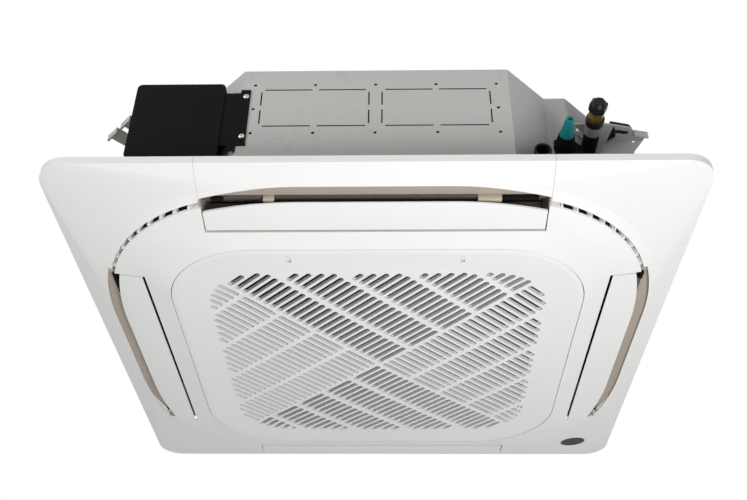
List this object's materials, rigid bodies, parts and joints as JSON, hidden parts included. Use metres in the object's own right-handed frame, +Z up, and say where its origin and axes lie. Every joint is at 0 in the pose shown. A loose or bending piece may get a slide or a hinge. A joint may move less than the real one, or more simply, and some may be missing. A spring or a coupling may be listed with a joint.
{
  "type": "ceiling cassette air conditioner",
  "caption": "Square ceiling cassette with a hinged slotted intake grille, tilting vanes on all sides and a hung sheet-metal body.",
  "frame": {"origin": "middle of the ceiling cut-out, in the ceiling plane that the upper edge of the panel bears on", "axes": "+Z up into the ceiling, -Y the near side with the control box and the pipes, +X right, seen from below with the near side away from the viewer's head"},
  "size_m": [0.95, 0.95, 0.287],
  "materials": {
    "panel_white": "satin moulded white",
    "grille_white": "satin moulded white",
    "vane_white": "satin moulded white",
    "latch_white": "satin moulded white",
    "badge_grey": "silver-grey printed oval, bare",
    "liner_beige": "moulded foam-lined duct",
    "foam_dark": "closed-cell foam",
    "foam_white": "expanded polystyrene",
    "galvanised": "galvanised sheet",
    "screw_steel": "zinc plated",
    "box_black": "moulded black",
    "board_green": "printed circuit board",
    "terminal_beige": "moulded",
    "copper": "copper tube",
    "brass": "machined brass",
    "cap_black": "moulded black",
    "cap_teal": "moulded cap",
    "band_white": "bare label band",
    "coil_aluminium": "stacked fins",
    "fan_grey": "moulded",
    "pump_grey": "moulded",
    "float_white": "moulded",
    "motor_steel": "zinc plated can",
    "mount_rubber": "moulded rubber",
    "filter_grey": "moulded net"
  },
  "bodies": {
    "cassette": {"badge_plate": "badge_grey", "bell_mouth": "fan_grey", "box_screws": "screw_steel", "cabinet_foam": "foam_dark", "cabinet_shell": "galvanised", "cabinet_top": "galvanised", "center_ring": "panel_white", "coil_bends": "copper", "control_board": "board_green", "control_box": "box_black", "control_box_cover": "box_black", "corner_cover_far_left": "panel_white", "corner_cover_far_right": "panel_white", "corner_cover_near_left": "panel_white", "corner_cover_near_right": "panel_white", "drain_pan": "foam_white", "drain_pump": "pump_grey", "drain_socket": "cap_black", "fan_motor": "motor_steel", "float_stem": "pump_grey", "gas_band": "band_white", "gas_cap": "cap_black", "gas_collar": "cap_black", "gas_nut": "brass", "gas_pipe": "copper", "gas_sleeve": "foam_dark", "hanger_far_left": "galvanised", "hanger_far_right": "galvanised", "hanger_near_left": "galvanised", "hanger_near_right": "galvanised", "hanger_pad": "mount_rubber", "hanger_screws": "screw_steel", "heat_exchanger": "coil_aluminium", "hinge_pins": "screw_steel", "liquid_cap": "cap_teal", "liquid_pipe": "copper", "liquid_sleeve": "foam_dark", "motor_mounts": "mount_rubber", "outlet_liner_far": "liner_beige", "outlet_liner_left": "liner_beige", "outlet_liner_near": "liner_beige", "outlet_liner_right": "liner_beige", "outlet_seals": "foam_dark", "panel_frame": "panel_white", "panel_studs": "screw_steel", "pipe_grommet": "foam_dark", "terminal_block": "terminal_beige", "vane_motors": "motor_steel", "vent_seals": "foam_dark"},
    "near_vane": {"vane_near": "vane_white"},
    "right_vane": {"vane_right": "vane_white"},
    "far_vane": {"vane_far": "vane_white"},
    "left_vane": {"vane_left": "vane_white"},
    "fan": {"fan_wheel": "fan_grey", "fan_nut": "screw_steel"},
    "grille": {"intake_grille": "grille_white", "air_filter": "filter_grey"},
    "left_catch": {"latch_left": "latch_white"},
    "right_catch": {"latch_right": "latch_white"},
    "water_float": {"float": "float_white"}
  },
  "joints": [
    {"name": "near_vane_tilt", "type": "hinge", "parent": "cassette", "child": "near_vane", "pos_m": [0, -0.378, -0.034], "axis": [1, 0, 0], "range_deg": [0, 50]},
    {"name": "right_vane_tilt", "type": "hinge", "parent": "cassette", "child": "right_vane", "pos_m": [0.378, 0, -0.034], "axis": [0, 1, 0], "range_deg": [0, 50]},
    {"name": "far_vane_tilt", "type": "hinge", "parent": "cassette", "child": "far_vane", "pos_m": [0, 0.378, -0.034], "axis": [-1, 0, 0], "range_deg": [0, 50]},
    {"name": "left_vane_tilt", "type": "hinge", "parent": "cassette", "child": "left_vane", "pos_m": [-0.378, 0, -0.034], "axis": [0, -1, 0], "range_deg": [0, 50]},
    {"name": "fan_spin", "type": "hinge", "parent": "cassette", "child": "fan", "pos_m": [0, 0, 0.1], "axis": [0, 0, 1], "continuous": true},
    {"name": "grille_swing", "type": "hinge", "parent": "cassette", "child": "grille", "pos_m": [0, 0.3242, -0.0518], "axis": [1, 0, 0], "range_deg": [0, 70]},
    {"name": "left_catch_slide", "type": "slide", "parent": "grille", "child": "left_catch", "axis": [0, 1, 0], "range_m": [0, 0.007]},
    {"name": "right_catch_slide", "type": "slide", "parent": "grille", "child": "right_catch", "axis": [0, 1, 0], "range_m": [0, 0.007]},
    {"name": "float_lift", "type": "slide", "parent": "cassette", "child": "water_float", "axis": [0, 0, 1], "range_m": [0, 0.018]}
  ]
}
